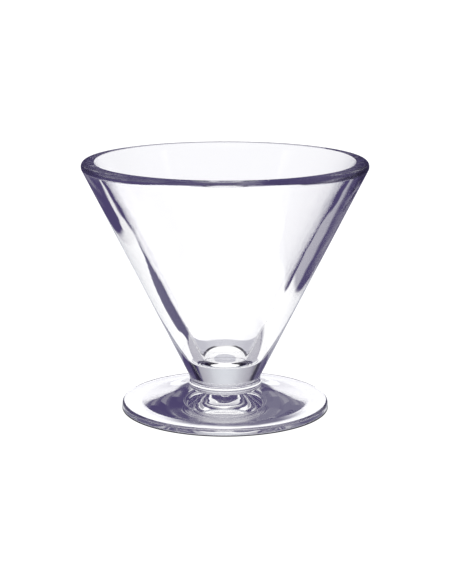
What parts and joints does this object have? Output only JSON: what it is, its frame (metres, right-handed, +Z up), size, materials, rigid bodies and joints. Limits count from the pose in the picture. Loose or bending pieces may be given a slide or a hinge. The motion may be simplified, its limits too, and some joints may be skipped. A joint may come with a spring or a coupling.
{
  "type": "parfait glass",
  "caption": "Footed dessert glass with a deep conical bowl, a short neck, a rounded collar and a wide flared foot.",
  "frame": {"origin": "centre of the foot's underside, on the table", "axes": "+Z up along the axis of the glass, -Y towards the viewer"},
  "size_m": [0.11, 0.11, 0.0974],
  "materials": {
    "clear_glass": "clear colourless glass, fire-polished, glossy"
  },
  "bodies": {
    "root": {"bowl": "clear_glass", "neck": "clear_glass", "collar": "clear_glass", "foot": "clear_glass"}
  },
  "joints": []
}
